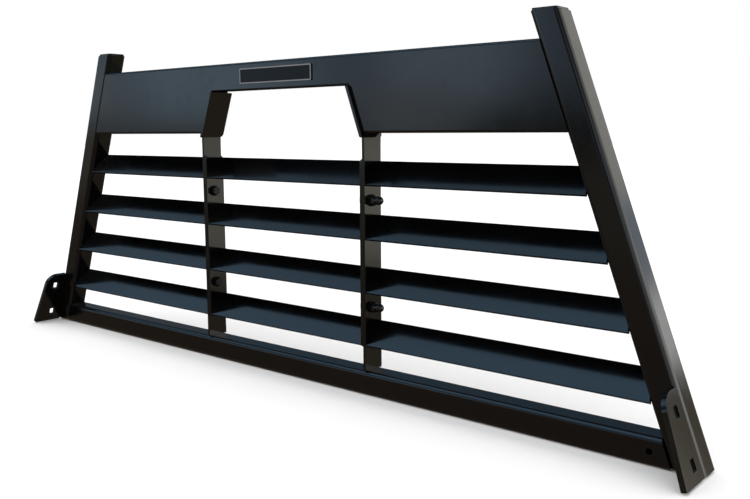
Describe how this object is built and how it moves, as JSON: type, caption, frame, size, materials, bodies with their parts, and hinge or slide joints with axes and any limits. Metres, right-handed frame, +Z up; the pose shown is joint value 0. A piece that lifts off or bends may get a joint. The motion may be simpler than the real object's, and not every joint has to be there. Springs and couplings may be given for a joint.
{
  "type": "headache rack",
  "caption": "Pickup headache rack: leaning square-tube uprights, base rail, louvre blades, bolted centre insert, formed top panel notched for the rear window, and slotted side brackets.",
  "frame": {"origin": "middle of the bounding box in X and Y, on the level of the base rail's underside", "axes": "+X across the truck, +Y away from the front face (the face with the badge and brackets), +Z up"},
  "size_m": [1.8626, 0.1312, 0.7355],
  "materials": {
    "powder_coat": "smooth semi-gloss black powder coat on steel",
    "fastener_black": "black oxide steel, slightly oily sheen",
    "badge_black": "blank gloss black plate with a raised rim"
  },
  "bodies": {
    "root": {"badge": "badge_black", "base_rail": "powder_coat", "insert_blade_1": "powder_coat", "insert_blade_2": "powder_coat", "insert_blade_3": "powder_coat", "insert_blade_4": "powder_coat", "insert_bolts": "fastener_black", "insert_cap_nuts": "fastener_black", "insert_nuts": "fastener_black", "insert_washers": "fastener_black", "left_blade_1": "powder_coat", "left_blade_2": "powder_coat", "left_blade_3": "powder_coat", "left_blade_4": "powder_coat", "left_bracket": "powder_coat", "left_divider": "powder_coat", "left_insert_plate": "powder_coat", "left_upright": "powder_coat", "left_upright_cap": "powder_coat", "left_window_bar": "powder_coat", "right_blade_1": "powder_coat", "right_blade_2": "powder_coat", "right_blade_3": "powder_coat", "right_blade_4": "powder_coat", "right_bracket": "powder_coat", "right_divider": "powder_coat", "right_insert_plate": "powder_coat", "right_upright": "powder_coat", "right_upright_cap": "powder_coat", "right_window_bar": "powder_coat", "top_panel": "powder_coat"}
  },
  "joints": []
}
